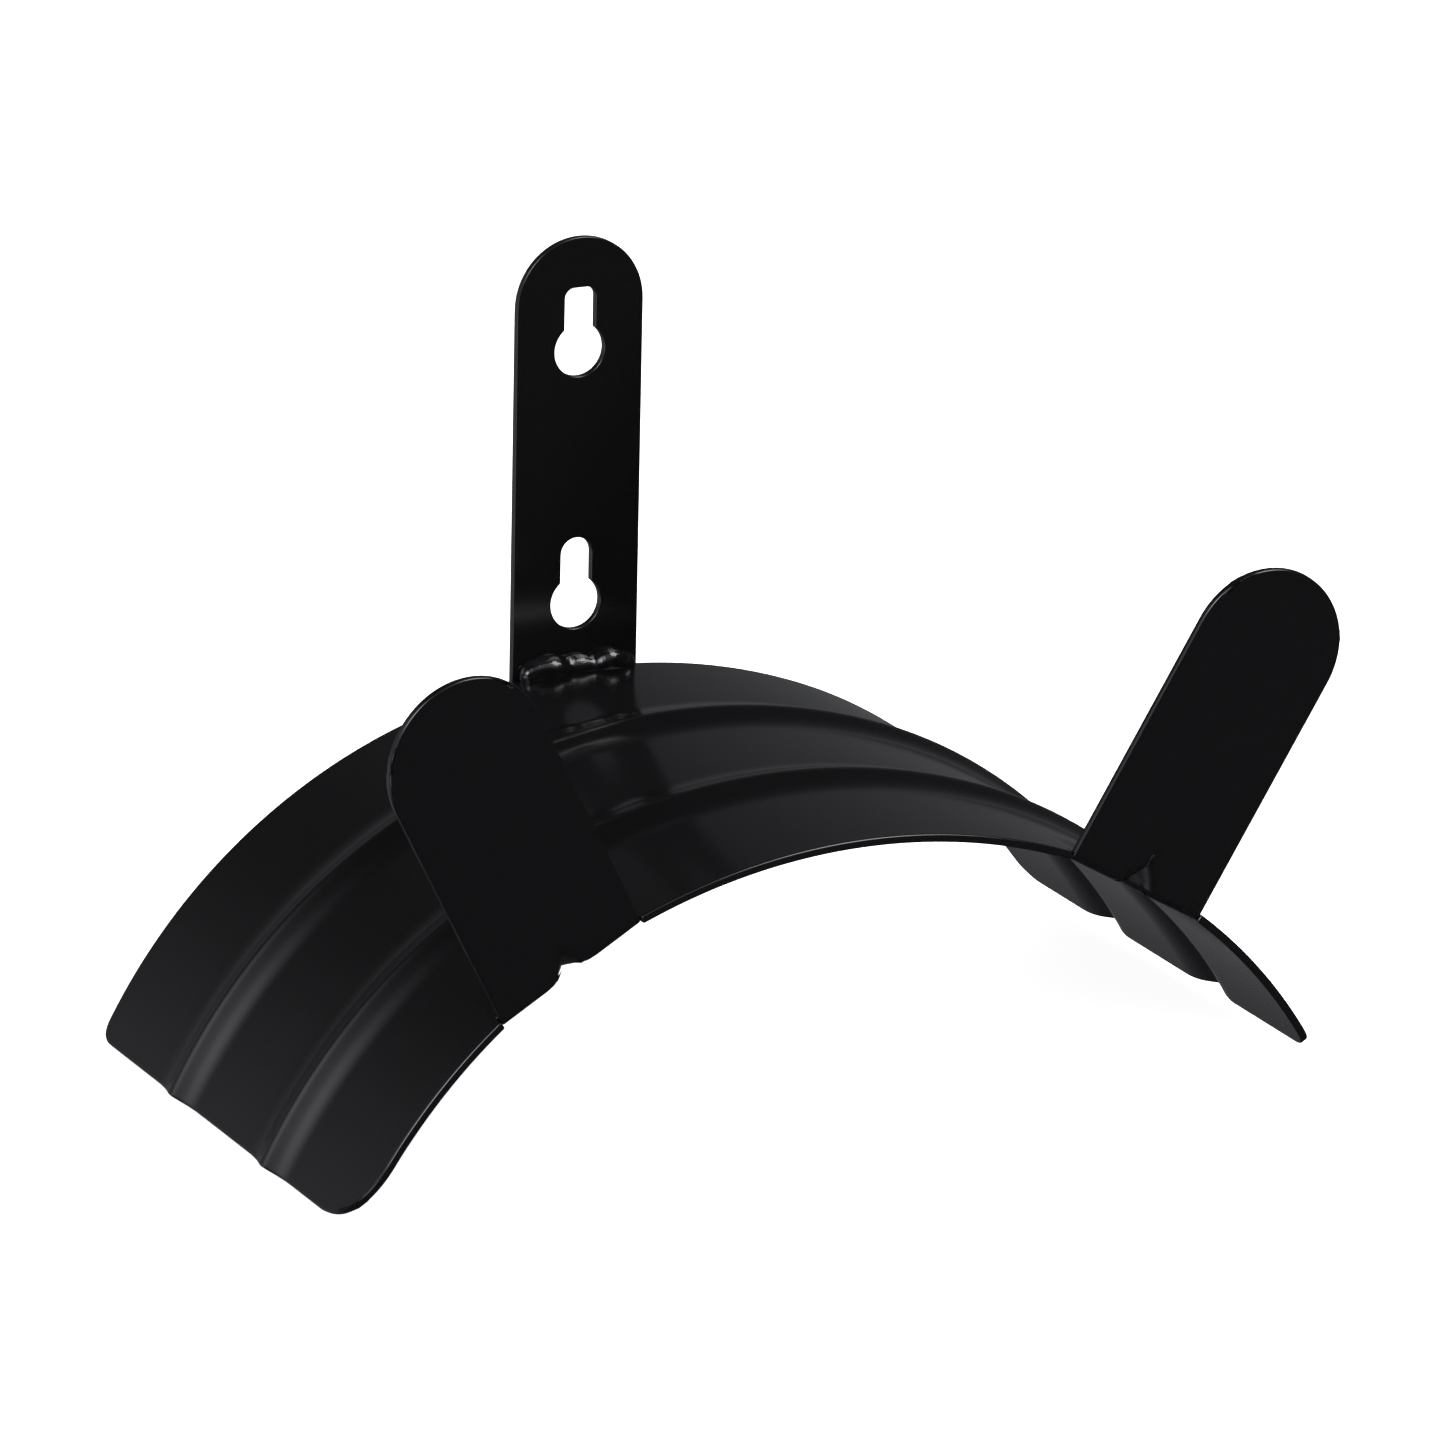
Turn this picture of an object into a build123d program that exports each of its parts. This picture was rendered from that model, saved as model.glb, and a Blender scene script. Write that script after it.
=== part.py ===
from build123d import *
import os
from math import sin, cos, radians, sqrt

os.makedirs("parts", exist_ok=True)

# Frame: X along the wall, the wall plane is Y = 0 with the hanger on the -Y side, +Z up.
# The origin is midway between the two keyholes' round entries, on the face of the strap that meets the wall.

# Sheet and strap
sheet = 1.9                 # 14 gauge, for the saddle and the strap
strap_width = 31.75
strap_top = 40.7            # centre of the half-round top
strap_tail = 13.0           # how far the strap runs down behind the saddle's crown
keyhole_pitch = 60.0        # between the two round entries
entry_radius = 6.25
slot_width = 7.7
upper_slot_rise = 14.7      # from the centre of the entry to the top of the slot
lower_slot_rise = 15.5
upper_slot_corner = 2.35    # the upper slot has a flat top with small corners
lower_slot_corner = 3.8     # the lower slot has a round top

# Saddle, measured on its top surface
crown_z = -45.75            # crown of the arch, level all the way to the front
crown_offset = 3.6          # the arch is welded this far to the side of the strap's middle
depth = 134.0               # from the back edge to the front edge
crown_radius = 146.2        # middle of the arch
side_radius = 129.6         # both sides of the arch
crown_half_angle = 21.0     # where the middle arc ends
end_angles = {-1: 63.6, 1: 59.3}    # slope of the sheet at its left and right ends
back_corners = {-1: 4.5, 1: 9.5}
front_corners = {-1: 17.0, 1: 5.0}
saddle_dip = 0.48           # degrees its front hangs below square to the strap
saddle_turn = 0.47          # degrees it is turned, seen from above, out of square to the strap

# Ridges pressed outward along the arch, a little steeper toward the front
ridge_crests = (43.0, 91.5)     # from the back edge
ridge_height = 2.5
ridge_crown_radius = 4.0
back_reach = 12.0               # from a ridge's crest to its foot
back_slope = 19.0
front_reach = 10.0
front_slope = 23.0

# Tabs bent up from the front edge
tab_width = 38.0
tab_angles = {-1: 30.3, 1: 30.0}    # where on the arch they stand, from the crown
tab_skew = 2.1              # how far each leans from square to its bend, toward the middle
tab_lean = 4.4              # how far each leans away from the wall
tab_height = 59.0           # from the bend's outer corner to the centre of the round end
bend_radius = 0.5           # inside
slit_width = 0.3            # sheared slit at each side of a bend
slit_depth = 3.0
flange_depth = 6.0          # flat behind a bend, then the sheet takes up the arch's curve
blend_depth = 16.0
dart_reach = 6.4            # the dart's outer recess, up the tab and back along the flange
dart_half_width = 6.0
gusset_reach = 5.9          # the dart's raised side, from the inner corner
gusset_half_width = 5.7

# Weld
weld_radius = 3.6
weld_ripples = 11


def section_point(angle, inward):
    """(x, z) on the arch's section at a slope angle, a distance inward from the top."""
    side = -1 if angle < 0 else 1
    a, join = radians(abs(angle)), radians(crown_half_angle)
    if abs(angle) <= crown_half_angle:
        x, z, r = 0, -crown_radius, crown_radius - inward
    else:
        shift = crown_radius - side_radius
        x, z, r = shift * sin(join), shift * cos(join) - crown_radius, side_radius - inward
    return side * (x + r * sin(a)), z + r * cos(a)


def arch_axis(side):
    """Axis of the middle arc (side 0) or of one side arc (-1 or 1)."""
    shift = crown_radius - side_radius
    join = radians(crown_half_angle)
    if side == 0:
        return Axis((0, 0, -crown_radius), (0, 1, 0))
    return Axis((side * shift * sin(join), 0, shift * cos(join) - crown_radius), (0, 1, 0))


def ridge_side(reach, slope, inward):
    """Points of one side of a ridge, from its foot to its crest, for one surface: two arcs with a flank between."""
    a = radians(slope)
    total = (reach * sin(a) - ridge_height * cos(a)) / (1 - cos(a))
    foot = total - ridge_crown_radius
    rf, rc = foot + inward, ridge_crown_radius - inward
    centre = ridge_height - ridge_crown_radius
    foot_arc = [(reach - rf * sin(k * a), foot - rf * cos(k * a)) for k in (0, 0.5, 1)]
    crown_arc = [(rc * sin(k * a), centre + rc * cos(k * a)) for k in (1, 0.5, 0)]
    return foot_arc, crown_arc


def sheet_path(inward):
    """Edges of the sheet's top (inward 0) or underside across its depth, from back to front."""
    edges, last = [], (0, -inward)
    for crest in ridge_crests:
        foot_arc, crown_arc = ridge_side(back_reach, back_slope, inward)
        back = [(-crest + y, z) for y, z in foot_arc + crown_arc]
        foot_arc, crown_arc = ridge_side(front_reach, front_slope, inward)
        front = [(-crest - y, z) for y, z in foot_arc + crown_arc][::-1]
        edges.append(Line(last, back[0]))
        edges.append(ThreePointArc(*back[0:3]))
        edges.append(Line(back[2], back[3]))
        edges.append(ThreePointArc(*back[3:6]))
        edges.append(ThreePointArc(*front[0:3]))
        edges.append(Line(front[2], front[3]))
        edges.append(ThreePointArc(*front[3:6]))
        last = front[5]
    edges.append(Line(last, (-depth, -inward)))
    return edges


def sheet_section():
    """The sheet's section across its depth as a face in the YZ plane, crown at the origin."""
    edges = sheet_path(0) + sheet_path(sheet)
    edges += [Line((0, 0), (0, -sheet)), Line((-depth, 0), (-depth, -sheet))]
    return Plane.YZ * make_face(Wire(edges))


def swept(face, side):
    """Sweep the section over the middle arc or one side arc."""
    axis = arch_axis(side)
    if side == 0:
        return revolve(face.rotate(axis, -crown_half_angle), axis, 2 * crown_half_angle)
    start = face.rotate(arch_axis(0), side * crown_half_angle)
    return revolve(start, axis, side * (end_angles[side] - crown_half_angle))


def corner_tool(side, at_front):
    """What a rounded corner takes off the sheet."""
    radius = front_corners[side] if at_front else back_corners[side]
    a = radians(end_angles[side])
    x, z = section_point(side * end_angles[side], 0)
    origin = (x, -depth if at_front else 0, z)
    plane = Plane(origin=origin, x_dir=(side * cos(a), 0, -sin(a)), z_dir=(side * sin(a), 0, cos(a)))
    out = -side if at_front else side
    corner = [(-radius, out), (1, out), (1, -out * radius), (0, -out * radius)]
    arc = ThreePointArc((0, -out * radius), (radius * (sqrt(0.5) - 1), out * radius * (sqrt(0.5) - 1)), (-radius, 0))
    edges = [Line(corner[0], corner[1]), Line(corner[1], corner[2]), Line(corner[2], corner[3]), arc]
    edges.append(Line((-radius, 0), corner[0]))
    return extrude(plane * make_face(Wire(edges)), 12, both=True)


def tab_plane(side):
    """Plane at the middle of a tab's bend line: x along the bend, y along the depth, z off the sheet."""
    a = radians(tab_angles[side])
    half = tab_width / 2
    sag = side_radius - sqrt(side_radius**2 - half**2)
    x, z = section_point(side * tab_angles[side], sag)
    return Plane(origin=(x, -depth, z), x_dir=(cos(a), 0, -side * sin(a)), z_dir=(side * sin(a), 0, cos(a)))


def tab_solid(side):
    """One tab: a flat flange, the bend, and the round-ended plate, all one thickness."""
    place = tab_plane(side)
    lean = radians(tab_lean)
    outer = bend_radius + sheet
    centre_y = (outer - bend_radius * sin(lean)) / cos(lean)
    turn = [radians(-90 - k * (90 - tab_lean) / 2) for k in (0, 1, 2)]
    inside = [(centre_y + bend_radius * cos(t), bend_radius + bend_radius * sin(t)) for t in turn]
    outside = [(centre_y + outer * cos(t), bend_radius + outer * sin(t)) for t in turn]
    flange = flange_depth
    edges = [Line((flange, 0), inside[0]), ThreePointArc(*inside), Line(inside[2], outside[2])]
    edges += [ThreePointArc(*outside[::-1]), Line(outside[0], (flange, -sheet))]
    edges.append(Line((flange, -sheet), (flange, 0)))
    section = Plane(origin=place.origin, x_dir=place.y_dir, z_dir=-place.x_dir)
    if section.y_dir.dot(place.z_dir) < 0:
        section = Plane(origin=place.origin, x_dir=place.y_dir, z_dir=place.x_dir)
    bent = extrude(section * make_face(Wire(edges)), tab_width / 2, both=True)
    up = place.z_dir * cos(lean) - place.y_dir * sin(lean)
    foot = place.origin + place.y_dir * outside[2][0] + place.z_dir * outside[2][1]
    plate = Plane(origin=foot, x_dir=place.x_dir, z_dir=place.x_dir.cross(up))
    height = tab_height - outside[2][1]
    skew = radians(tab_skew)
    shift = -side * height * sin(skew)
    half = tab_width / 2
    sides = Polyline((-half, 0), (half, 0), (shift + half, height), (shift - half, height), close=True)
    outline = make_face(sides) + Pos(shift, height) * Circle(half * cos(skew))
    inward = sheet if plate.z_dir.dot(place.y_dir) > 0 else -sheet
    return bent + extrude(plate * outline, inward)


def blend_section(side, behind, share):
    """Section of the sheet behind a bend: straight at share 0, the arch's own curve at share 1."""
    place = tab_plane(side)
    half = tab_width / 2
    level = sqrt(side_radius**2 - half**2)
    inner = side_radius - sheet
    sag = share * (side_radius - level)
    edge = share * (level - sqrt(inner**2 - half**2)) + (1 - share) * sheet
    top = [(-half, 0), (0, sag), (half, 0)]
    low = [(half, -edge), (0, sag - sheet), (-half, -edge)]
    origin = place.origin + place.y_dir * behind
    plane = Plane(origin=origin, x_dir=place.x_dir, z_dir=-place.y_dir)
    if share == 0:
        edges = [Line(top[0], top[2]), Line(top[2], low[0]), Line(low[0], low[2]), Line(low[2], top[0])]
    else:
        edges = [ThreePointArc(*top), Line(top[2], low[0]), ThreePointArc(*low), Line(low[2], top[0])]
    return plane * make_face(Wire(edges))


def blend_solid(side):
    """The sheet between a bend's flat flange and the arch."""
    start, steps = flange_depth, 6
    faces = []
    for k in range(steps + 1):
        t = k / steps
        share = 3 * t**2 - 2 * t**3
        faces.append(blend_section(side, start + t * (blend_depth - start), share))
    return loft(faces)


def in_place(side, width, low, high, tall, shift=0):
    """A box in a tab's own frame: its width and place along the bend, its reach in depth, its height."""
    box = Pos(shift, (low + high) / 2, 0) * Box(width, high - low, tall)
    place = tab_plane(side)
    return Plane(origin=place.origin, x_dir=place.x_dir, z_dir=place.z_dir) * box


def dart_solid(side, reach, half_width, corner):
    """Four-sided wedge across a bend; the corner is given behind the front face and above the sheet's top."""
    place = tab_plane(side)
    lean = radians(tab_lean)
    back, height = corner
    local = [(-half_width, back, height), (half_width, back, height)]
    local.append((0, back - reach * sin(lean), height + reach * cos(lean)))
    local.append((0, back + reach, height))
    points = [place.origin + place.x_dir * x + place.y_dir * y + place.z_dir * z for x, y, z in local]
    corners = [(0, 1, 2), (0, 1, 3), (0, 2, 3), (1, 2, 3)]
    sides = [make_face(Polyline(*[points[k] for k in ids], close=True)) for ids in corners]
    return Solid(Shell(sides))


def saddle_solid():
    """The whole bent sheet, crown of the arch at the origin."""
    section = sheet_section()
    saddle = swept(section, 0) + swept(section, -1) + swept(section, 1)
    for side in (-1, 1):
        for at_front in (False, True):
            saddle -= corner_tool(side, at_front)
    for side in (-1, 1):
        saddle -= in_place(side, tab_width, -1, blend_depth, 14)
        for edge in (-1, 1):
            shift = edge * (tab_width + slit_width) / 2
            saddle -= in_place(side, slit_width, -1, slit_depth, 14, shift)
        saddle += blend_solid(side) + tab_solid(side)
        saddle += dart_solid(side, gusset_reach, gusset_half_width, (sheet, 0))
        saddle -= dart_solid(side, dart_reach, dart_half_width, (0, -sheet))
    return saddle


def keyhole(centre_z, rise, corner):
    """Cutter for one keyhole: a round entry with a narrower slot rising from it."""
    entry = Circle(entry_radius)
    slot = Pos(0, rise / 2) * Rectangle(slot_width, rise)
    slot = fillet(slot.vertices().group_by(Axis.Y)[-1], corner)
    place = Plane(origin=(0, 0, centre_z), x_dir=(1, 0, 0), z_dir=(0, -1, 0))
    return extrude(place * (entry + slot), 3 * sheet, both=True)


def strap_solid():
    """Flat upright strap, half-round at the top, its back face on the wall plane."""
    height = strap_top - crown_z + strap_tail
    outline = Pos(0, -height / 2) * Rectangle(strap_width, height) + Circle(strap_width / 2)
    place = Plane(origin=(0, 0, strap_top), x_dir=(1, 0, 0), z_dir=(0, -1, 0))
    strap = extrude(place * outline, sheet)
    strap -= keyhole(keyhole_pitch / 2, upper_slot_rise, upper_slot_corner)
    return strap - keyhole(-keyhole_pitch / 2, lower_slot_rise, lower_slot_corner)


def weld_solid():
    """Rippled fillet weld in the corner between the strap's front face and the saddle's top."""
    reach = strap_width / 2 - 2.6
    bead = None
    for k in range(weld_ripples):
        x = reach * (2 * k / (weld_ripples - 1) - 1)
        across = x - crown_offset
        z = crown_z - crown_radius + sqrt(crown_radius**2 - across**2)
        radius = weld_radius * (1.05 if k % 2 else 0.97)
        spot = Pos(x, -sheet - 0.9, z + 0.9) * Sphere(radius)
        bead = spot if bead is None else bead + spot
    front = Pos(0, -sheet - 6, crown_z) * Box(strap_width, 12, 20)
    arch = seat * Pos(0, 0, -crown_radius) * Rot(90, 0, 0) * Cylinder(crown_radius, 30)
    return (bead & front) - arch


# The saddle's place on the strap; its back edge is dressed to bear flat on the strap's front face.
seat = Pos(0, -sheet, crown_z) * Rot(saddle_dip, 0, saddle_turn) * Pos(crown_offset, 0, 0)
strap = strap_solid()
bearing = Pos(0, -sheet / 2, crown_z) * Box(2 * strap_width, sheet, strap_width)
saddle = seat * saddle_solid() - bearing
weld = weld_solid()

export_step(saddle, "parts/saddle.step")
export_step(strap, "parts/wall_strap.step")
export_step(weld, "parts/weld_bead.step")
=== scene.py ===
import math

import bpy
from mathutils import Matrix, Vector, noise


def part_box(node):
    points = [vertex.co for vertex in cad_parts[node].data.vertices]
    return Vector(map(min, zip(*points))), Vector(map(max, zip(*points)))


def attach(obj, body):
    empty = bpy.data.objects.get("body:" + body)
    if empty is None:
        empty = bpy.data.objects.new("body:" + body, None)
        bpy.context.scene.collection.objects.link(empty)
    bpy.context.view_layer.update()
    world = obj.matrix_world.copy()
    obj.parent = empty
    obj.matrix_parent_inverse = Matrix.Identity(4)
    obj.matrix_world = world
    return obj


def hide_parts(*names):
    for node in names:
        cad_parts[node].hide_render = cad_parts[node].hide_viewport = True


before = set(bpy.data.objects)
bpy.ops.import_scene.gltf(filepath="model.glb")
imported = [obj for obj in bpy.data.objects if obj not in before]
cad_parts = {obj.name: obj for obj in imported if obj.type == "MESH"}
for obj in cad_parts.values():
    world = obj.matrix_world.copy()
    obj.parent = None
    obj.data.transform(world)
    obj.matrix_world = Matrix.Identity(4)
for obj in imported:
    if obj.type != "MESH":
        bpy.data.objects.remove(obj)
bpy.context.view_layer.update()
bpy.ops.object.select_all(action="DESELECT")

# --- Camera: a long lens, a little above the hanger and to its left ------------------------------
# It looks along the wall's normal turned 27 degrees, and 18 degrees down, and is rolled a degree.
MM = 0.001
az, el, roll = math.radians(27.202), math.radians(17.716), math.radians(1.249)
look_at = Vector((0, 0, -46))
distance, shift_right, shift_up = 2232.3, 34.83, -12.75
forward = Vector((math.sin(az) * math.cos(el), math.cos(az) * math.cos(el), -math.sin(el)))
level = Vector((math.cos(az), -math.sin(az), 0))
upright = level.cross(forward)
side_way = math.cos(roll) * level + math.sin(roll) * upright
up_way = math.cos(roll) * upright - math.sin(roll) * level
eye = (-distance * forward + shift_right * side_way + shift_up * up_way + look_at) * MM
bpy.ops.object.camera_add(location=eye)
camera = bpy.context.object
camera.name = "camera"
camera.rotation_mode = "QUATERNION"
camera.rotation_quaternion = Matrix((side_way, up_way, -forward)).transposed().to_quaternion()
camera.data.sensor_width = 36
camera.data.lens = 242.05
camera.data.clip_start, camera.data.clip_end = 0.05, 50
bpy.context.scene.camera = camera
bpy.context.scene.view_settings.view_transform = "Standard"

# --- Floor: plain white paper, laid just under the arch's two lowest ends -------------------------
# The left end reaches lower than the right one, so the paper slopes by about two degrees.
paper_size = 9
left_foot = Vector((-0.1180, 0, -0.1210))
right_foot = Vector((0.1195, 0, -0.1128))
bpy.ops.mesh.primitive_plane_add(size=paper_size, location=(0, 0, 0))
floor = bpy.context.object
floor.name = "floor"
slope = math.atan2(right_foot.z - left_foot.z, right_foot.x - left_foot.x)
floor.data.transform(Matrix.Translation((left_foot + right_foot) / 2) @ Matrix.Rotation(-slope, 4, "Y"))
paper = bpy.data.materials.new("floor_paper")
paper.use_nodes = True
paper_look = {
    "Base Color": (0.86, 0.86, 0.86, 1),
    "Roughness": 0.9,
    "Specular IOR Level": 0.0,
    "Emission Color": (1, 1, 1, 1),
    "Emission Strength": 0.85,
}
for socket, value in paper_look.items():
    paper.node_tree.nodes["Principled BSDF"].inputs[socket].default_value = value
floor.data.materials.append(paper)
floor.visible_glossy = False


# --- Coating: gloss black powder coat over steel, on every piece ----------------------------------
# Baked powder flows out almost flat, but keeps a fine orange peel and a slightly uneven gloss.
class Link:
    """A node tree's socket or a plain value, with arithmetic that adds Math nodes."""

    def __init__(self, tree, value):
        self.tree, self.value = tree, value

    def node(self, kind, settings=(), **inputs):
        """Adds a node of a type, applies its settings, then sets or links its inputs.

        An input is named as on the node, with _ for a space, or by its place: at0, at1 and so on.
        """
        made = self.tree.nodes.new(kind)
        for name, value in dict(settings).items():
            setattr(made, name, value)
        for name, value in inputs.items():
            socket = made.inputs[int(name[2:]) if name.startswith("at") else name.replace("_", " ")]
            if isinstance(value, Link):
                value = value.value
            if isinstance(value, bpy.types.NodeSocket):
                self.tree.links.new(value, socket)
            else:
                socket.default_value = value
        return made

    def math(self, operation, *others):
        """Adds a Math node that takes this value first."""
        values = {f"at{k}": v for k, v in enumerate((self,) + others)}
        return Link(self.tree, self.node("ShaderNodeMath", {"operation": operation}, **values).outputs[0])

    def __add__(self, other):
        return self.math("ADD", other)

    def __mul__(self, other):
        return self.math("MULTIPLY", other)

    def __pow__(self, other):
        return self.math("POWER", other)

    __radd__ = __add__
    __rmul__ = __mul__


def black_coat(name, peel):
    """Gloss black powder coat; peel is how deep its orange peel is, in metres."""
    material = bpy.data.materials.new(name)
    material.use_nodes = True
    tree = material.node_tree
    start = Link(tree, 0)
    place = start.node("ShaderNodeTexCoord").outputs["Object"]
    cloud = start.node("ShaderNodeTexNoise", {}, Vector=place, Scale=60.0, Detail=3.0)
    grain = start.node("ShaderNodeTexNoise", {}, Vector=place, Scale=1300.0, Detail=2.0, Roughness=0.5)
    uneven = Link(tree, cloud.outputs[0])
    fine = Link(tree, grain.outputs[0])
    bump = start.node("ShaderNodeBump", {}, Strength=1.0, Distance=peel, Height=fine)
    shader = tree.nodes["Principled BSDF"]
    shader.inputs["Base Color"].default_value = (0.0022, 0.0022, 0.0026, 1)
    shader.inputs["IOR"].default_value = 1.5
    tree.links.new((0.12 + 0.06 * uneven + 0.02 * fine).value, shader.inputs["Roughness"])
    tree.links.new(bump.outputs[0], shader.inputs["Normal"])
    return material


# --- Saddle: one blank of 1.9 mm sheet, pressed, rolled to an arch, and its two tabs bent up ------
# Each point of a flat grid is carried to where pressing and bending leave it, what lies outside the
# blank's outline is cut off, and the sheet is given its thickness and the coating's soft rims.
sheet = 1.9
depth = 134.0
crown_offset, crown_z = 3.6, -45.75
crown_radius, side_radius = 146.2, 129.6
join_angle = math.radians(21)
end_slopes = {-1: math.radians(63.6), 1: math.radians(59.3)}
back_corners, front_corners = {-1: 4.5, 1: 9.5}, {-1: 17.0, 1: 5.0}
saddle_dip, saddle_turn = math.radians(0.48), math.radians(0.47)
ridge_crests = (43.0, 91.5)
ridge_rise, ridge_top_radius = 2.5, 4.0
back_reach, back_slope = 12.0, math.radians(19)
front_reach, front_slope = 10.0, math.radians(23)
tab_half = 19.0
tab_places = {-1: math.radians(30.3), 1: math.radians(30.0)}
tab_skew = math.radians(2.1)
tab_lean = math.radians(4.4)
tab_height = 59.0
bend_radius = 0.5
slit_width, slit_depth = 0.3, 3.0
flange_depth, blend_depth = 6.0, 16.0
dart_reach, dart_half = 5.9, 5.7
dart_fade, dart_soft = 0.6, 0.12
bearing_half = 31.75
saddle_rim, saddle_peel = 0.00045, 0.0000013
join_length = crown_radius * join_angle
tab_middles = {s: join_length + side_radius * (tab_places[s] - join_angle) for s in (-1, 1)}
slit_reach = side_radius * math.asin((tab_half + slit_width) / side_radius)
ends = {s: join_length + side_radius * (end_slopes[s] - join_angle) for s in (-1, 1)}


def ridge_height(v):
    """How far the sheet's top is pressed up, a distance v in front of the back edge."""
    for crest in ridge_crests:
        off, reach, slope = abs(v - crest), back_reach, back_slope
        if v > crest:
            reach, slope = front_reach, front_slope
        total = (reach * math.sin(slope) - ridge_rise * math.cos(slope)) / (1 - math.cos(slope))
        foot = total - ridge_top_radius
        if off < ridge_top_radius * math.sin(slope):
            return ridge_rise - ridge_top_radius + math.sqrt(ridge_top_radius**2 - off**2)
        if off < reach - foot * math.sin(slope):
            edge = ridge_top_radius * math.sin(slope)
            top = ridge_rise - ridge_top_radius * (1 - math.cos(slope))
            return top - (off - edge) * math.tan(slope)
        if off < reach:
            return foot - math.sqrt(foot**2 - (reach - off) ** 2)
    return 0.0


def on_arch(u, v):
    """Where a point of the blank lies on the finished arch: u along the bend, v in front of the back."""
    side = -1 if u < 0 else 1
    lift = ridge_height(v)
    if abs(u) <= join_length:
        a = u / crown_radius
        x, z = crown_radius * math.sin(a), crown_radius * (math.cos(a) - 1)
    else:
        a = side * (join_angle + (abs(u) - join_length) / side_radius)
        spread = crown_radius - side_radius
        x = side * spread * math.sin(join_angle) + side_radius * math.sin(a)
        z = spread * math.cos(join_angle) - crown_radius + side_radius * math.cos(a)
    across, height = x + crown_offset + lift * math.sin(a), z + crown_z + lift * math.cos(a)
    return Vector((across, -sheet - v, height))


def tab_axes(side):
    """The middle of a tab's bend line and the tab's own directions: along the bend and off the sheet."""
    spread, tab_place = crown_radius - side_radius, tab_places[side]
    level_radius = math.sqrt(side_radius**2 - tab_half**2)
    x = side * (spread * math.sin(join_angle) + level_radius * math.sin(tab_place))
    z = spread * math.cos(join_angle) - crown_radius + level_radius * math.cos(tab_place)
    origin = Vector((x + crown_offset, -sheet - depth, z + crown_z))
    along = Vector((math.cos(tab_place), 0, -side * math.sin(tab_place)))
    return origin, along, Vector((side * math.sin(tab_place), 0, math.cos(tab_place)))


outer_radius = bend_radius + sheet
bend_centre = (outer_radius - bend_radius * math.sin(tab_lean)) / math.cos(tab_lean)
bend_turn = math.pi / 2 - tab_lean
plate_back = bend_centre - bend_radius * math.cos(tab_lean)
plate_foot = bend_radius - bend_radius * math.sin(tab_lean)
foot_height = bend_radius - outer_radius * math.sin(tab_lean)


def on_tab(side, x, step, t):
    """A point of the tab's inner face: x along the bend, step the stretch, t how far along it.

    The dart pushes the sheet back and up where the bend's corner would be inside its wedge.
    """
    origin, along, off = tab_axes(side)
    drift = 0.0
    if step == "flange":
        back, high = t, 0.0
    elif step == "bend":
        turn = -math.pi / 2 - t * bend_turn
        back = bend_centre + bend_radius * math.cos(turn)
        high = bend_radius + bend_radius * math.sin(turn)
    else:
        back = plate_back - t * math.sin(tab_lean)
        high = plate_foot + t * math.cos(tab_lean)
        drift = -side * t * math.sin(tab_skew)
    reach = dart_reach * (1 - abs(x) / dart_half)
    over = reach - (back - sheet + high)
    if min(reach, over) > -dart_fade:
        push = 0.5 * (over + math.sqrt(over**2 + dart_soft))
        back, high = back + push / 2, high + push / 2
    return origin + along * (x + drift) + Vector((0, back, 0)) + off * high


def stations(*marks):
    """Distances along one direction: each mark is (where a stretch ends, how many steps it has)."""
    found = [marks[0]]
    for end, count in marks[1:]:
        first = found[-1]
        found += [first + (end - first) * k / count for k in range(1, count + 1)]
    return found


# Rows run across the blank from back to front, close together over the ridges and near the bends.
edge_row = 0.8
marks = [(edge_row, 1), (9.5, 8)]
for crest in ridge_crests:
    marks += [(crest - back_reach, 12), (crest - 1.6, 16), (crest + 2.4, 8), (crest + front_reach, 10)]
marks += [(depth - 17, 8), (depth - 8.5, 8), (depth - slit_depth - 0.6, 8), (depth - slit_depth, 1)]
rows = stations(0.0, *marks, (depth - edge_row, 4), (depth, 1))

# Columns run from the left end to the right one, and those of each tab are closer at its dart.
end_width = 22.0
tab_columns = [18.3, 16.5, 14.5, 12.5, 10.5, 8.5, 6.8, 5.4, 4.4, 3.7, 3.3, 2.8, 2.3, 1.8, 1.3, 0.8, 0.35]
tab_columns = [tab_half] + tab_columns
tab_columns = [-x for x in tab_columns] + [0.0] + tab_columns[::-1]
columns, strip = [], {}
end, slit = -ends[-1], -tab_middles[-1] - slit_reach
columns += stations(end, (end + edge_row, 1), (end + end_width, 24), (slit - edge_row, 12), (slit, 1))
for side in (-1, 1):
    for x in tab_columns:
        columns.append(side * tab_middles[side] + side_radius * math.asin(x / side_radius))
        strip[len(columns) - 1] = (side, x)
    if side == -1:
        near, far = -tab_middles[-1] + slit_reach, tab_middles[1] - slit_reach
        columns += stations(near, (near + edge_row, 1), (far - edge_row, 40), (far, 1))
slit, end = tab_middles[1] + slit_reach, ends[1]
columns += stations(slit, (slit + edge_row, 1), (end - end_width, 12), (end - edge_row, 24), (end, 1))
last_row = len(rows) - 1
slit_row = rows.index([v for v in rows if abs(v - (depth - slit_depth)) < 1e-6][0])

# A tab's own rows go on from the front edge: round the bend, up the plate and over its round end.
plate_length = tab_height - foot_height
block = plate_length - 6
bend_steps, round_steps = 8, 14
tab_rows = [("flange", bend_centre)]
tab_rows += [("bend", k / bend_steps) for k in range(1, bend_steps + 1)]
tab_rows += [("plate", t) for t in stations(0.0, (9.0, 14), (block, 14))[1:]]
tab_rows += [("round", k / round_steps) for k in range(1, round_steps + 1)]


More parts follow.
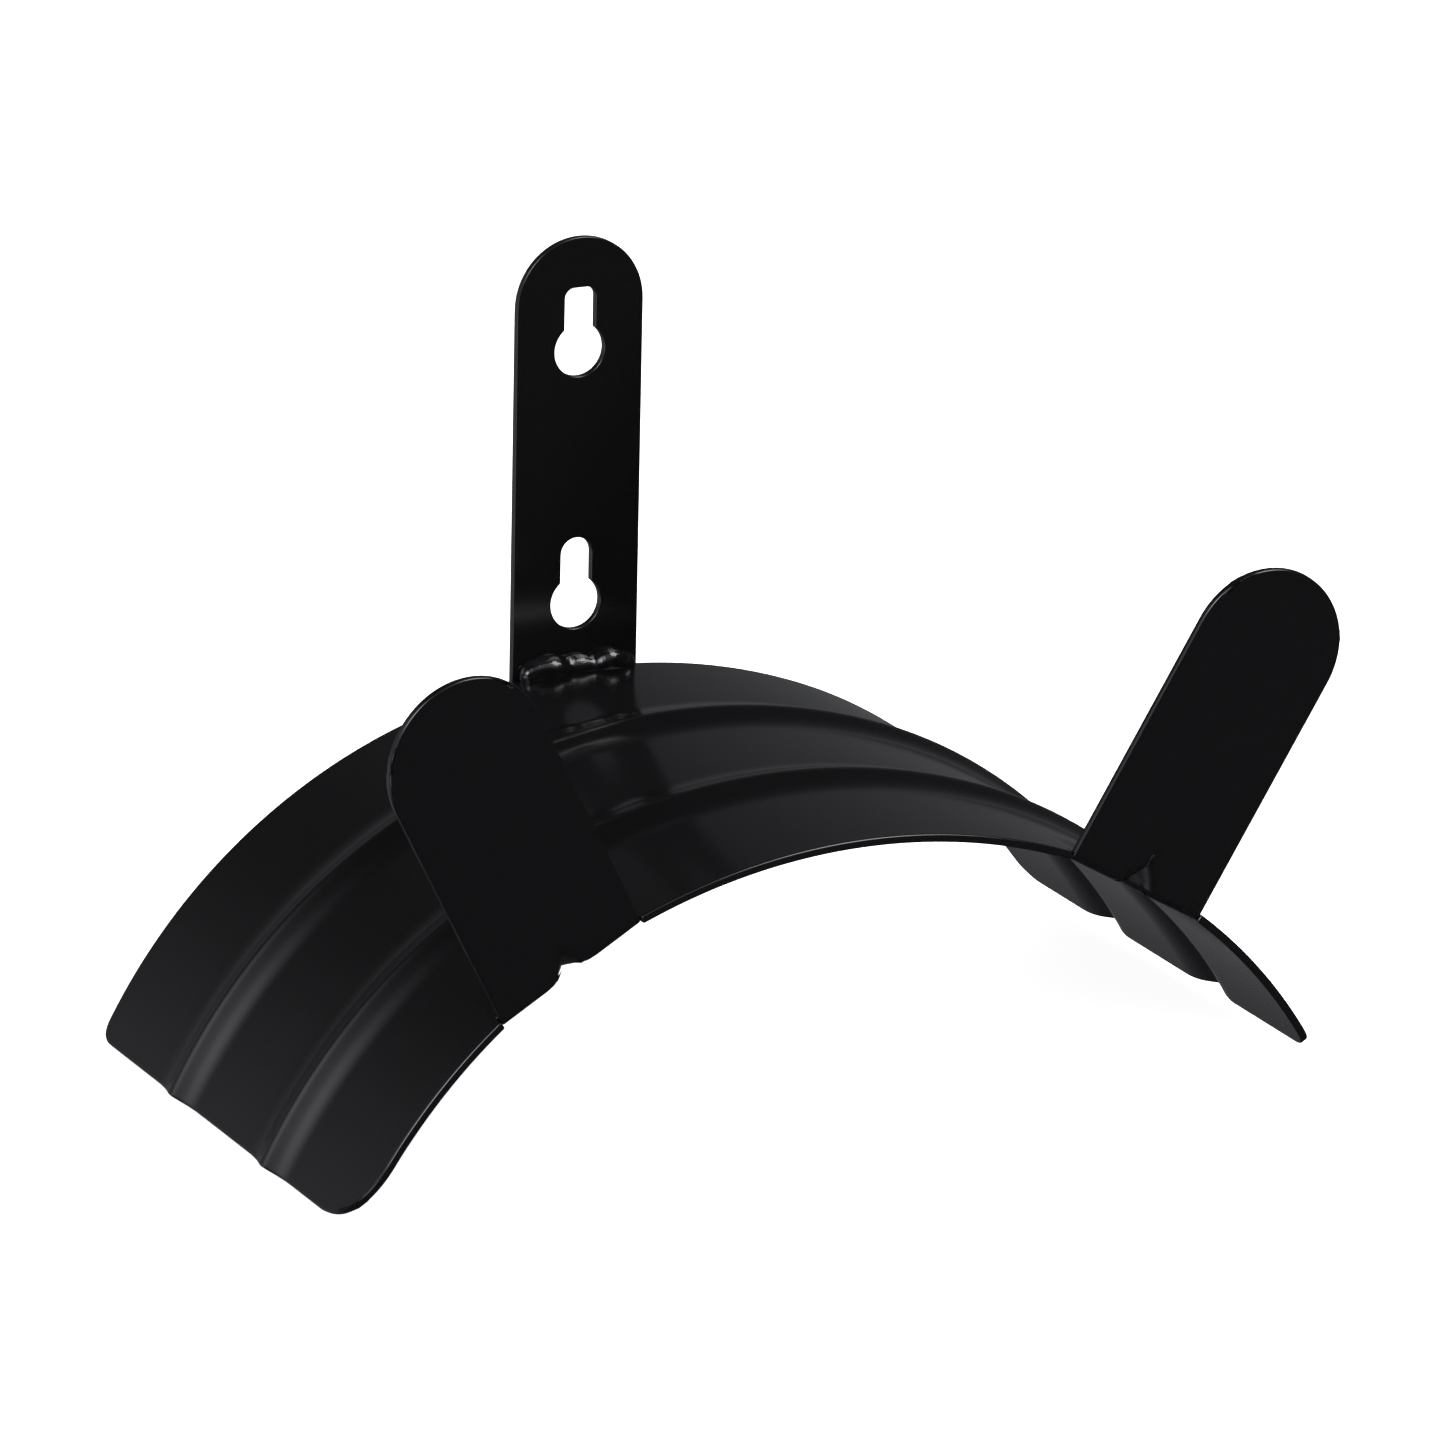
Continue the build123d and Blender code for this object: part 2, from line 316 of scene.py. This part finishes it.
def end_block(side, u, v):
    """Moves a point near one end so that the grid's outline follows the two rounded corners."""
    end, width = ends[side], end_width
    back_corner, front_corner = back_corners[side], front_corners[side]
    s = (abs(u) - (end - width)) / width
    if s <= 0:
        return u, v
    half_corner = math.pi / 4

    def outer(v):
        """The outline's point at row v, with each corner shared by the end and the edge at 45 degrees."""
        if v > depth - front_corner:
            a = half_corner * (v - depth + front_corner) / front_corner
            return end - front_corner * (1 - math.cos(a)), depth - front_corner * (1 - math.sin(a))
        if v < back_corner:
            a = half_corner * (back_corner - v) / back_corner
            return end - back_corner * (1 - math.cos(a)), back_corner * (1 - math.sin(a))
        return end, v

    def edge(s, radius):
        """Distance from the end and from the edge, along the straight edge and then half the corner."""
        straight = width - radius
        arc = radius * half_corner
        run = s * (straight + arc)
        if run <= straight:
            return end - width + run, 0.0
        a = (run - straight) / radius
        return end - radius + radius * math.sin(a), radius * (1 - math.cos(a))

    ou, ov = outer(v)
    pu = (1 - s) * (end - width) + s * ou
    pv = (1 - s) * v + s * ov
    for radius, weight, sign in (
        (front_corner, max(0, (v - (depth - front_corner - 6)) / (front_corner + 6)), -1),
        (back_corner, max(0, 1 - v / (back_corner + 5)), 1),
    ):
        if weight:
            eu, ev = edge(s, radius)
            cu, cv = edge(1, radius)
            lu, lv = (1 - s) * (end - width) + s * cu, s * cv
            pu += weight * (eu - lu)
            pv += weight * sign * (ev - lv)
    return side * pu, pv


def tab_round(x, t):
    """Place across and up the plate for the last stretch, whose outline is the half-round end."""
    corner = math.radians(40)   # how far the straight sides' columns run round the end
    s = (x + tab_half) / (2 * tab_half)
    side_run = (plate_length - block) + tab_half * corner

    def flank(t):
        """Where the plate's side, and then the round end up to the corner angle, has got to at t."""
        run = t * side_run
        if run < plate_length - block:
            return tab_half, block + run
        a = (run - (plate_length - block)) / tab_half
        return tab_half * math.cos(a), plate_length + tab_half * math.sin(a)

    a = math.pi - corner - s * (math.pi - 2 * corner)
    top = (tab_half * math.cos(a), plate_length + tab_half * math.sin(a))
    fx, fw = flank(t)
    cx, cw = flank(1)
    px = (1 - t) * x + t * top[0] + (2 * s - 1) * fx
    px -= (1 - t) * (2 * s - 1) * tab_half + t * (2 * s - 1) * cx
    pw = (1 - t) * block + t * top[1] + fw - ((1 - t) * block + t * cw)
    return px, pw


wide, tall = len(columns), len(rows) + len(tab_rows)
bpy.ops.mesh.primitive_grid_add(x_subdivisions=wide - 1, y_subdivisions=tall - 1, size=1)
saddle = bpy.context.object
saddle.name = saddle.data.name = "formed_saddle"
for k, vertex in enumerate(saddle.data.vertices):
    c, r = k % wide, k // wide
    side = -1 if columns[c] < 0 else 1
    if c in strip and r > slit_row:
        side, x = strip[c]
        if r <= last_row:
            done = (r - slit_row) / (last_row - slit_row + 1)
            stretch, t = "flange", slit_depth + (bend_centre - slit_depth) * done
        else:
            stretch, t = tab_rows[r - last_row - 1]
        if stretch == "round":
            px, pw = tab_round(x, t)
            place = on_tab(side, px, "plate", pw)
        else:
            place = on_tab(side, x, stretch, t)
    elif r > last_row:
        place = Vector((0, 0, 0))
    else:
        u, v = end_block(side, columns[c], rows[r])
        place = on_arch(u, v)
        behind = depth - v
        if c in strip and behind < blend_depth:
            side, x = strip[c]
            ease = max(0.0, (behind - flange_depth) / (blend_depth - flange_depth))
            share = 3 * ease**2 - 2 * ease**3
            origin, along, off = tab_axes(side)
            bulge = math.sqrt(side_radius**2 - x**2) - math.sqrt(side_radius**2 - tab_half**2)
            place = on_tab(side, x, "flange", behind) + off * (share * bulge)
    vertex.co = place * MM

# The cells beside the tabs and in the slits at each end of a bend are cut away.
bpy.ops.object.mode_set(mode="EDIT")
bpy.ops.mesh.select_all(action="DESELECT")
bpy.ops.object.mode_set(mode="OBJECT")
for face in saddle.data.polygons:
    cells = [(k % wide, k // wide) for k in face.vertices]
    c, r = min(a for a, b in cells), min(b for a, b in cells)
    in_strip = all(a in strip for a, b in cells) and c + 1 in strip and strip[c][0] == strip[c + 1][0]
    in_slit = not in_strip and (c in strip or c + 1 in strip)
    if (r >= last_row and not in_strip) or (in_slit and r >= slit_row):
        face.select = True
bpy.ops.object.mode_set(mode="EDIT")
bpy.ops.mesh.delete(type="FACE")
bpy.ops.mesh.select_all(action="SELECT")
bpy.ops.mesh.delete_loose()
bpy.ops.mesh.select_all(action="SELECT")
bpy.ops.mesh.normals_make_consistent(inside=False)
bpy.ops.object.mode_set(mode="OBJECT")
middle = min(saddle.data.polygons, key=lambda f: (f.center - Vector((0, -0.1, crown_z * MM))).length)
if middle.normal.z < 0:
    saddle.data.flip_normals()


def finish_sheet(piece, rim, thickness=0.0):
    """Gives a sheet its thickness, if it has none yet, and rims as soft as the coating leaves them."""
    bpy.ops.object.select_all(action="DESELECT")
    bpy.context.view_layer.objects.active = piece
    piece.select_set(True)
    if thickness:
        wall = piece.modifiers.new("wall", "SOLIDIFY")
        wall.thickness, wall.offset = thickness, -1
        wall.use_even_offset = True
        bpy.ops.object.modifier_apply(modifier="wall")
    soft = piece.modifiers.new("rim", "BEVEL")
    soft.width, soft.segments, soft.limit_method = rim, 3, "ANGLE"
    soft.angle_limit = math.radians(45)
    soft.use_clamp_overlap = False
    soft.miter_outer = "MITER_ARC"
    bpy.ops.object.modifier_apply(modifier="rim")
    bpy.ops.object.shade_smooth()
    even = piece.modifiers.new("even", "WEIGHTED_NORMAL")
    even.weight = 80
    bpy.ops.object.modifier_apply(modifier="even")
    piece.select_set(False)


finish_sheet(saddle, saddle_rim, sheet * MM)
# It sits on the strap slightly dipped and turned, with its back edge dressed flat where it bears.
weld_line = Matrix.Translation(Vector((0, -sheet, crown_z)) * MM)
dip_and_turn = Matrix.Rotation(saddle_dip, 4, "X") @ Matrix.Rotation(saddle_turn, 4, "Z")
saddle.data.transform(weld_line @ dip_and_turn @ weld_line.inverted())
for vertex in saddle.data.vertices:
    if abs(vertex.co.x) < bearing_half * MM:
        vertex.co.y = min(vertex.co.y, -sheet * MM)
saddle.data.materials.append(black_coat("saddle_black_coat", saddle_peel))
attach(saddle, "root")
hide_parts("saddle")

# --- Wall strap: a flat steel strap with two punched keyholes, coated with the saddle -------------
# Its outline is the sheared and punched one, merged into one mesh with wide flat faces, and the
# coating rounds every cut edge a little.
strap_rim, strap_peel = 0.0003, 0.0000025
bpy.ops.object.select_all(action="DESELECT")
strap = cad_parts["wall_strap"].copy()
strap.data = strap.data.copy()
for key in list(strap.keys()):
    if key.startswith("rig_"):
        del strap[key]
bpy.context.scene.collection.objects.link(strap)
strap.name = strap.data.name = "punched_strap"
strap.select_set(True)
bpy.context.view_layer.objects.active = strap
bpy.ops.object.mode_set(mode="EDIT")
bpy.ops.mesh.select_all(action="SELECT")
bpy.ops.mesh.remove_doubles(threshold=0.00001)
bpy.ops.mesh.dissolve_limited(angle_limit=math.radians(1))
bpy.ops.object.mode_set(mode="OBJECT")
if strap.data.has_custom_normals:
    bpy.ops.mesh.customdata_custom_splitnormals_clear()
finish_sheet(strap, strap_rim)
strap.data.materials.clear()
strap.data.materials.append(black_coat("strap_black_coat", strap_peel))
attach(strap, "root")
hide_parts("wall_strap")

# --- Weld bead: a hand-laid fillet weld of overlapping pools, between strap and saddle ------------
# Each pool of steel froze a little higher or lower than the last, and the coating has flowed over
# them, so they are merged into one skin, which is smoothed and left slightly wavy.
weld_low, weld_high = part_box("weld_bead")
pools, pool_radius, end_margin = 34, 0.0028, 0.0036
half_span = (weld_high.x - weld_low.x) / 2 - end_margin
thick_places = ((0.22, 0.13, 1.0), (0.86, 0.12, 0.8))   # along the bead: where, how long, how thick
swell_size, ripple_size, wander = 0.0006, 0.00016, 0.00025
pool_front, overlap = 0.0026, 0.001     # in front of the wall; into the strap and the saddle
skin_depth, weld_peel = 0.00034, 0.000003


def saddle_top(x):
    """Height of the saddle's top along the weld."""
    across = x / MM - crown_offset
    return (crown_z - crown_radius + math.sqrt(crown_radius**2 - across**2)) * MM


bpy.ops.object.select_all(action="DESELECT")
beads = []
for k in range(pools):
    s = k / (pools - 1)
    x = half_span * (2 * s - 1)
    swell = sum(much * math.exp(-(((s - place) / length) ** 2)) for place, length, much in thick_places)
    ripple = math.sin(0.75 * k + 0.8)
    radius = pool_radius + swell_size * swell + ripple_size * ripple
    rise = swell_size * (1 + swell) + wander * math.sin(0.5 * k)
    spot = (x, -pool_front - swell_size / 2 * swell, saddle_top(x) + rise)
    bpy.ops.mesh.primitive_uv_sphere_add(segments=32, ring_count=20, radius=radius, location=spot)
    pool = bpy.context.object
    pool.scale = (0.8, 1, 1)
    beads.append(pool)
for pool in beads:
    pool.select_set(True)
bpy.context.view_layer.objects.active = beads[0]
bpy.ops.object.transform_apply(location=True, rotation=True, scale=True)
bpy.ops.object.join()
weld = bpy.context.object
weld.name = weld.data.name = "fillet_weld"
merge = weld.modifiers.new("merge", "REMESH")
merge.mode, merge.voxel_size = "VOXEL", 0.00018
bpy.ops.object.modifier_apply(modifier="merge")
flow = weld.modifiers.new("flow", "SMOOTH")
flow.factor, flow.iterations = 0.5, 14
bpy.ops.object.modifier_apply(modifier="flow")
for vertex in weld.data.vertices:
    x, y, z = vertex.co
    wave = noise.noise(Vector((150 * x + 80 * z, 430 * y, 430 * z)))
    vertex.co += vertex.normal * skin_depth * wave
    sunk = saddle_top(vertex.co.x) - overlap
    vertex.co.x = max(weld_low.x, min(weld_high.x, vertex.co.x))
    vertex.co.y = max(weld_low.y, min(vertex.co.y, -overlap))
    vertex.co.z = min(weld_high.z, max(vertex.co.z, sunk))
bpy.ops.object.shade_smooth()
weld.data.materials.append(black_coat("weld_black_coat", weld_peel))
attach(weld, "root")
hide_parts("weld_bead")

# --- Light: an even white surround, and dim soft walls for the gloss to mirror --------------------
# The coating mirrors only the dim walls and one soft box, which is what keeps it black.
world = bpy.data.worlds.new("studio")
world.use_nodes = True
bpy.context.scene.world = world
tree = world.node_tree
tree.nodes.clear()
start = Link(tree, 0)
way = start.node("ShaderNodeTexCoord").outputs["Generated"]


def patch(direction, sharpness):
    """A soft round patch of wall in one direction."""
    toward = Vector(direction).normalized()
    facing = start.node("ShaderNodeVectorMath", {"operation": "DOT_PRODUCT"}, at0=way, at1=toward)
    return Link(tree, facing.outputs["Value"]).math("MAXIMUM", 0.0) ** sharpness


# Patches of wall: the direction they are in, how small they are, and how bright.
patches = [
    ((-0.62, 0.74, -0.28), 8.0, 0.35),
    ((-0.80, 0.42, 0.42), 20.0, 1.4),
    ((0.42, 0.90, 0.12), 6.0, 0.085),
    ((0.30, 0.85, -0.42), 12.0, 0.05),
    ((0.35, -0.85, -0.3), 4.0, 0.03),
    ((-0.85, -0.42, -0.25), 16.0, 3.0),
    ((0.20, -0.60, 0.75), 14.0, 1.2),
    ((-0.62, -0.50, 0.58), 30.0, 14.0),
    ((0.06, 0.85, -0.53), 10.0, 0.05),
]
walls = 0.018
for direction, sharpness, strength in patches:
    walls = walls + strength * patch(direction, sharpness)
dim = start.node("ShaderNodeBackground", {}, Color=(0.97, 0.98, 1.04, 1), Strength=walls)
bright = start.node("ShaderNodeBackground", {}, Color=(1, 1, 1, 1), Strength=1.15)
ray = start.node("ShaderNodeLightPath")
seen = {"at0": ray.outputs["Is Glossy Ray"], "at1": bright.outputs[0], "at2": dim.outputs[0]}
mix = start.node("ShaderNodeMixShader", {}, **seen)
out = start.node("ShaderNodeOutputWorld")
tree.links.new(mix.outputs[0], out.inputs[0])

# One square soft box stands high in front of the hanger, to its right, and faces it.
box_place, box_size, box_power = Vector((0.65, -0.50, 1.20)), 0.8, 16
saddle_middle = Vector((0, -0.07, -0.05))
aim = saddle_middle - box_place
bpy.ops.object.light_add(type="AREA", location=box_place)
box = bpy.context.object
box.name = "box_above_front"
box.data.size = box_size
box.data.energy = box_power
box.rotation_mode = "QUATERNION"
box.rotation_quaternion = aim.to_track_quat("-Z", "Y")
